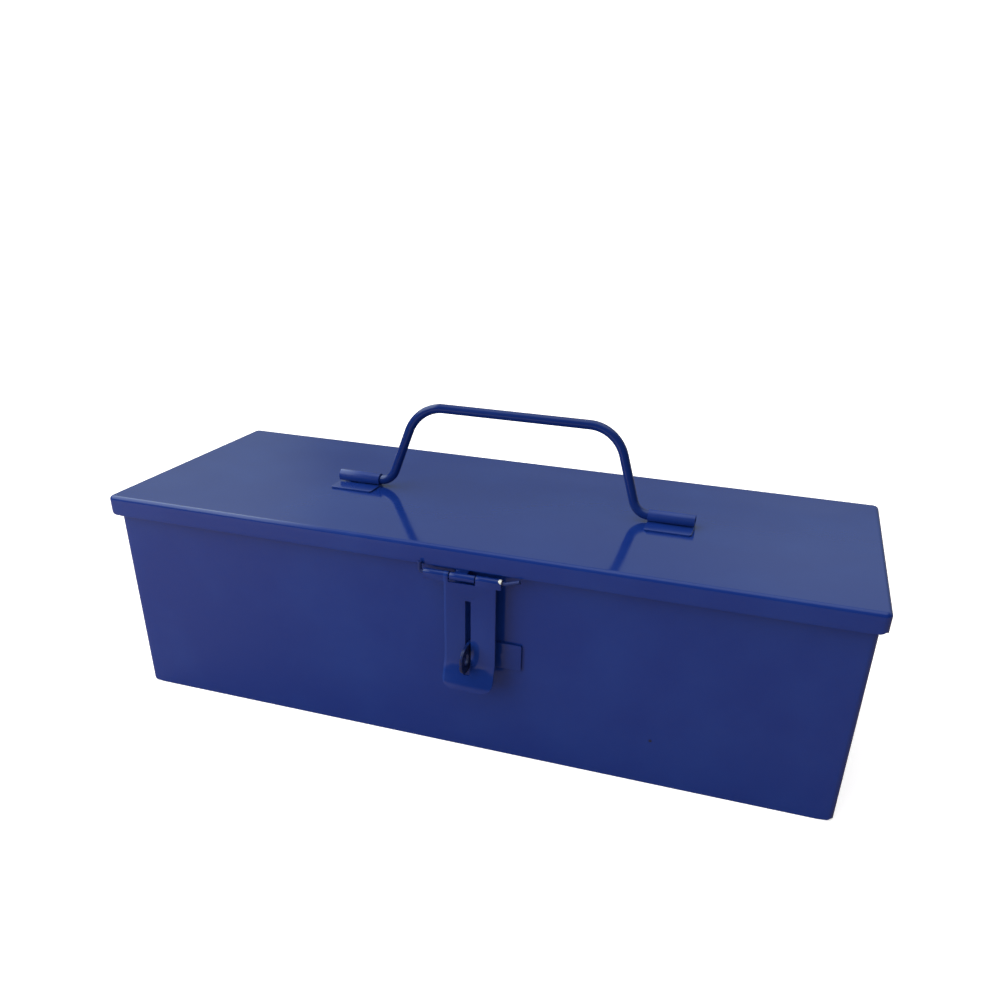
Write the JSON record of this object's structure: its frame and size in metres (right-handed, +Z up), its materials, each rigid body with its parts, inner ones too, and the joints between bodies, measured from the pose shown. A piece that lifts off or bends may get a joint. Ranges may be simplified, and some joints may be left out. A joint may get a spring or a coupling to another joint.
{
  "type": "toolbox",
  "caption": "Long low steel toolbox with an overlapping hinged lid, a fold-down rod handle on top, and a slotted hasp strap over a padlock staple.",
  "frame": {"origin": "centre of the underside, on the surface that the box stands on", "axes": "+X along the box to the right as seen from the front, -Y towards the front with the hasp, +Z up"},
  "size_m": [0.4, 0.1639, 0.1652],
  "materials": {
    "body_enamel": "glossy navy blue stoving enamel on sheet steel",
    "lid_enamel": "glossy navy blue stoving enamel on sheet steel",
    "handle_enamel": "glossy navy blue enamel on a steel rod",
    "fitting_enamel": "glossy navy blue enamel on bent steel strip",
    "pin_steel": "steel wire, enamelled over with the rest"
  },
  "bodies": {
    "box": {"body_wall": "body_enamel", "body_floor": "body_enamel", "staple_bracket": "fitting_enamel", "hinge_left_body_leaf": "fitting_enamel", "hinge_left_pin": "pin_steel", "hinge_right_body_leaf": "fitting_enamel", "hinge_right_pin": "pin_steel"},
    "lid": {"lid_pan": "lid_enamel", "handle_clip_left": "lid_enamel", "handle_clip_right": "lid_enamel", "hasp_lid_leaf": "fitting_enamel", "hasp_pin": "pin_steel", "hinge_left_lid_leaf": "fitting_enamel", "hinge_right_lid_leaf": "fitting_enamel"},
    "handle": {"carry_handle": "handle_enamel"},
    "strap": {"hasp_strap": "fitting_enamel"}
  },
  "joints": [
    {"name": "lid_hinge", "type": "hinge", "parent": "box", "child": "lid", "pos_m": [0, 0.0746, 0.1032], "axis": [-1, 0, 0], "range_deg": [0, 205]},
    {"name": "handle_hinge", "type": "hinge", "parent": "lid", "child": "handle", "pos_m": [0.005, -0.002, 0.12048], "axis": [1, 0, 0], "range_deg": [-80, 99]},
    {"name": "strap_hinge", "type": "hinge", "parent": "lid", "child": "strap", "pos_m": [0.0055, -0.0746, 0.1032], "axis": [-1, 0, 0], "range_deg": [-6, 170]}
  ]
}
